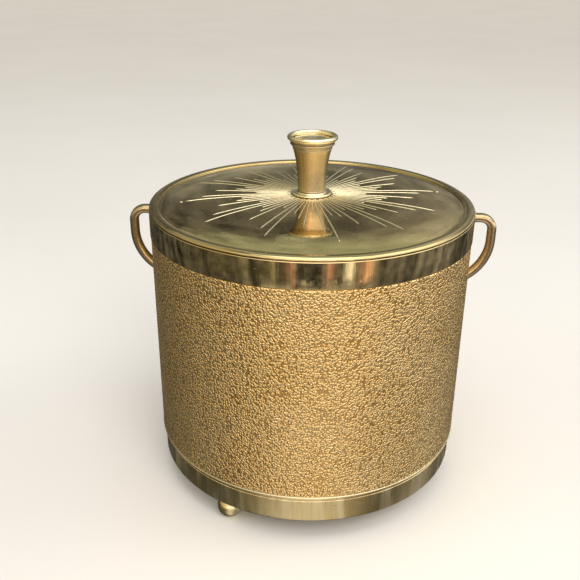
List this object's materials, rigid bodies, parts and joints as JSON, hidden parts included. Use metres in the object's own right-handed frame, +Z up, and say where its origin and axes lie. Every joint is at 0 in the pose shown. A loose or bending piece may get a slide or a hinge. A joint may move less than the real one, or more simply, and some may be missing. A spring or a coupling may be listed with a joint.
{
  "type": "ice bucket",
  "caption": "Insulated cylindrical ice bucket with an embossed brass-tone sleeve, polished band and pan, ball feet, side handles, plastic tub and a lift-off lid with a flared knob.",
  "frame": {"origin": "on the floor under the middle of the bucket, on the bucket's own axis", "axes": "+Z up along the bucket's axis, the two handles on +X and -X, -Y the front"},
  "size_m": [0.2204, 0.1902, 0.2134],
  "materials": {
    "embossed_brass": "fine pebble embossing, lacquered, golden orange",
    "polished_brass": "mirror polished, pale gold",
    "satin_brass": "satin with light tarnish",
    "handle_brass": "cast and polished, worn brown gold",
    "knob_brass": "fine turned satin, coppery gold",
    "starburst_inlay": "pale cut lines, lightly rough",
    "zinc_steel": "zinc plated",
    "ivory_plastic": "moulded, soft gloss",
    "white_foam": "expanded foam beads",
    "black_rubber": "matte"
  },
  "bodies": {
    "bucket": {"base_pan": "satin_brass", "outer_sleeve": "embossed_brass", "top_band": "polished_brass", "inner_liner": "ivory_plastic", "insulation_jacket": "white_foam", "insulation_disc": "white_foam", "rim_gasket": "black_rubber", "base_washer": "zinc_steel", "base_screw": "zinc_steel", "ball_foot_front_left": "satin_brass", "ball_foot_right": "satin_brass", "ball_foot_back_left": "satin_brass", "foot_washer_front_left": "zinc_steel", "foot_washer_right": "zinc_steel", "foot_washer_back_left": "zinc_steel", "foot_screw_front_left": "zinc_steel", "foot_screw_right": "zinc_steel", "foot_screw_back_left": "zinc_steel", "handle_right": "handle_brass", "handle_left": "handle_brass", "handle_washer_right_upper": "zinc_steel", "handle_washer_right_lower": "zinc_steel", "handle_washer_left_upper": "zinc_steel", "handle_washer_left_lower": "zinc_steel", "handle_nut_right_upper": "zinc_steel", "handle_nut_right_lower": "zinc_steel", "handle_nut_left_upper": "zinc_steel", "handle_nut_left_lower": "zinc_steel"},
    "lid": {"lid_shell": "polished_brass", "lid_inner_pan": "ivory_plastic", "lid_foam": "white_foam", "lid_gasket": "black_rubber", "knob_escutcheon": "knob_brass", "knob_body": "knob_brass", "knob_cap": "knob_brass", "knob_washer": "zinc_steel", "knob_screw": "zinc_steel"}
  },
  "joints": [
    {"name": "lid_lift", "type": "slide", "parent": "bucket", "child": "lid", "axis": [0, 0, 1], "range_m": [0, 0.12]}
  ]
}
